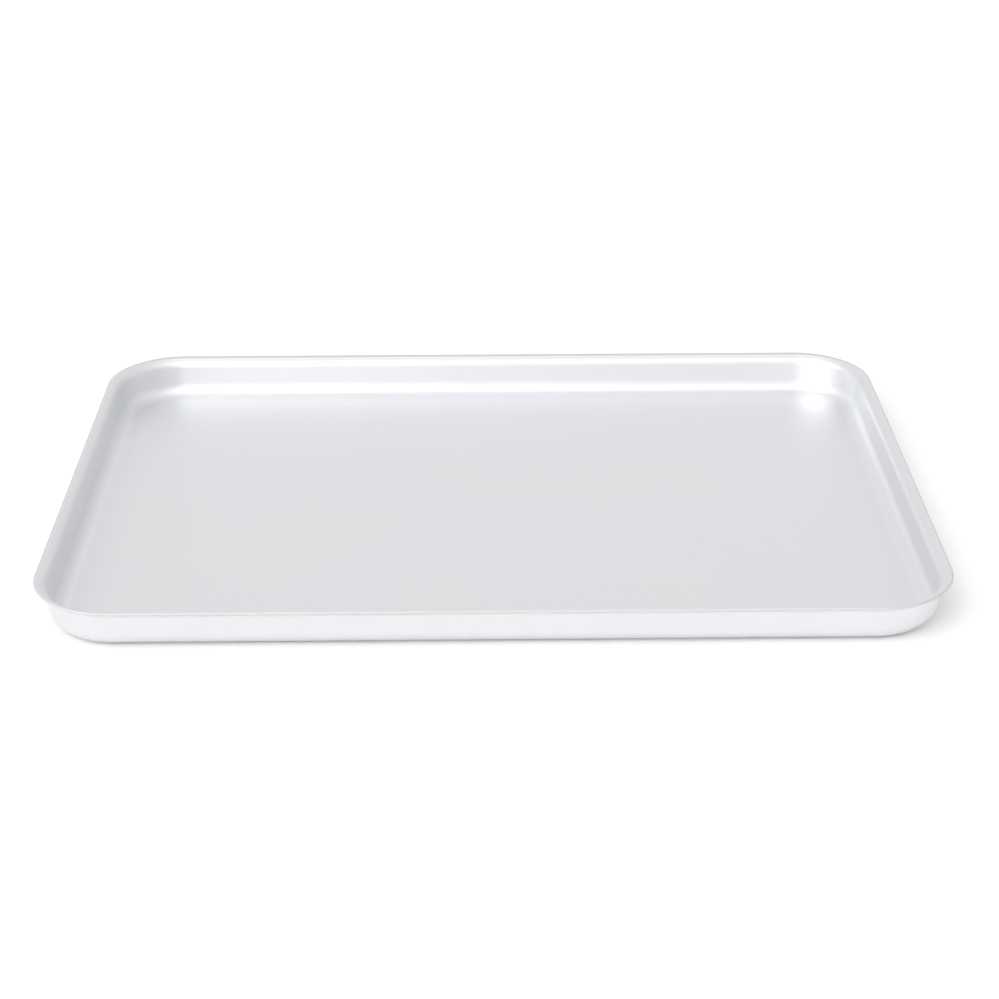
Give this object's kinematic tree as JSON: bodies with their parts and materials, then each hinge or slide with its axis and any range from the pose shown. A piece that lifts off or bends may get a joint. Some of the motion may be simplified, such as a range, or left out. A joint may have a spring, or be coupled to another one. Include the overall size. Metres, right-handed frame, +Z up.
{
  "type": "cookie sheet",
  "caption": "Shallow rectangular baking tray pressed from one aluminium sheet, with a flat floor, rounded corners, low drafted walls and a flared lip with a bare cut edge.",
  "frame": {"origin": "middle of the underside, on the surface that the tray stands on", "axes": "+X along the long sides, +Y along the short sides, +Z up out of the open top"},
  "size_m": [0.3556, 0.254, 0.018],
  "materials": {
    "anodised_sheet": "satin anodised"
  },
  "bodies": {
    "root": {"pressed_tray": "anodised_sheet"}
  },
  "joints": []
}
